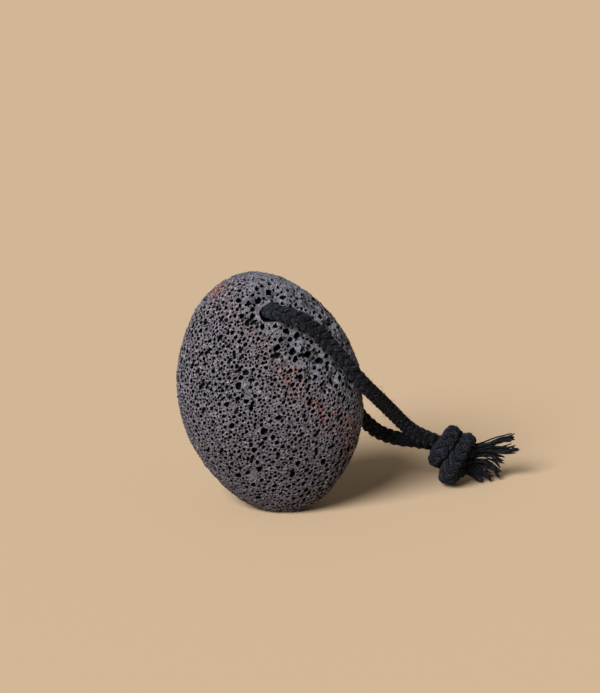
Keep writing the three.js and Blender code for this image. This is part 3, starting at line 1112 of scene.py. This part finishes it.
def clear_rope(points):
    """Moves the skin out of the rope's way."""
    line = whole_line[rope_from:rope_to:4]
    near = np.full(len(points), 1e9)
    away = np.zeros_like(points)
    for place in line:
        offset = points - place
        gap = np.linalg.norm(offset, axis=1)
        closer = gap < near
        near[closer] = gap[closer]
        away[closer] = offset[closer]
    keep = ROPE_RADIUS + ROPE_GAP
    tight = near < keep
    points[tight] += unit(away[tight]) * (keep - near[tight])[:, None]
    return points


# From which radius to which, the share of the pores left, its insets (in, down) and the
# last point's depth, in mm. What a first row leaves, the next one takes.
PORE_DEPTHS = [
    (0, 0.36, 0.86, [], 1.3), (0, 0.36, 1, [], 0.2),
    (0.36, 0.48, 0.88, [(0.03, 0.7)], 0.4), (0.36, 0.48, 1, [(0.05, 0.2)], 0.05),
    (0.48, 0.70, 0.90, [(0.04, 0.9)], 0.4), (0.48, 0.70, 1, [(0.08, 0.3)], 0.08),
    (0.70, 0.95, 0.88, [(0.04, 0.6), (0.12, 0.9)], 0.4),
    (0.70, 0.95, 1, [(0.10, 0.3), (0.2, 0.2)], 0.03),
    (0.95, 1.30, 0.92, [(0.06, 0.8), (0.2, 1.3)], 0.3),
    (0.95, 1.30, 1, [(0.12, 0.4), (0.25, 0.3), (0.3, 0.1)], 0.0),
    (1.30, 3, 1, [(0.08, 0.8), (0.2, 1.4), (0.4, 1.0)], 0.2),
]


SKIN_JITTER = 0.08 * MM
BAND_REACH = 7
STREAK_REACH = 1.3
UNSTREAKED = 9
SHARP_EDGE = math.radians(50)


def edit_all(piece, operation, **settings):
    """Runs one mesh operation on the whole of a piece."""
    work_on(piece)
    bpy.ops.object.mode_set(mode="EDIT")
    bpy.ops.mesh.select_all(action="SELECT")
    operation(**settings)
    bpy.ops.object.mode_set(mode="OBJECT")


def mark_skin(mesh):
    """Notes for the material how deep each point is, for the painted shade in pores and in the
    hole, and how coarse, red and streaked it is.
    """
    points = read_points(mesh)
    depth, _ = pebble_depth(points)
    in_bore = distance_from_mouth(points) < 1.12
    along, across, through = local_places(points)
    share = coarse_share(points)
    # Painted shade in pores and in the hole, darker with depth; less of it near the top, where
    # the pores face the light.
    painted_pit_shade = np.clip(depth / MM - 0.16 * share, 0, 1.4) * (1 - 0.7 * ease((along - 34) / 9))
    painted_pit_shade = np.where(in_bore, ease(depth / (3 * MM)), painted_pit_shade)
    point_attribute(mesh, "painted_pit_shade", painted_pit_shade)
    point_attribute(mesh, "coarse", share)
    band = distance_to_path(along, across, RED_BAND)
    strength = 0.75 + 0.25 * ease((22 - along) / 14)
    point_attribute(mesh, "band", np.clip(1 - band / BAND_REACH, 0, 1) * strength)
    streak = np.min([distance_to_path(across, along, line) for line in RUST_LINES], axis=0)
    streak[through > 2] = UNSTREAKED
    point_attribute(mesh, "streak", np.clip(1 - streak / STREAK_REACH, 0, 1))


def carve_stone():
    places, radii = place_pores()
    piece = pull_hull(places)
    ends = read_edges(piece.data)
    radii = fit_radii(places, radii, ends)
    drill_hole(piece)
    open_pores(piece, places, radii)
    mesh = piece.data
    roughen_mouths(mesh, places, radii, ends)
    for low, high, share, steps, point in PORE_DEPTHS:
        deepen(piece, low, high, share, steps, point)
    raise_nodes(piece)
    edit_all(piece, bpy.ops.transform.vertex_random, offset=SKIN_JITTER, uniform=1.0, normal=0.0,
             seed=5)
    mark_skin(mesh)
    shape_skin(mesh)
    points = clear_rope(read_points(mesh))
    points[:, 2] = np.maximum(points[:, 2], 0)
    write_points(mesh, points)
    edit_all(piece, bpy.ops.mesh.normals_make_consistent, inside=False)
    bpy.ops.object.shade_smooth_by_angle(angle=SHARP_EDGE)
    return piece


stone = carve_stone()
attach(stone, "root")
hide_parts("stone")
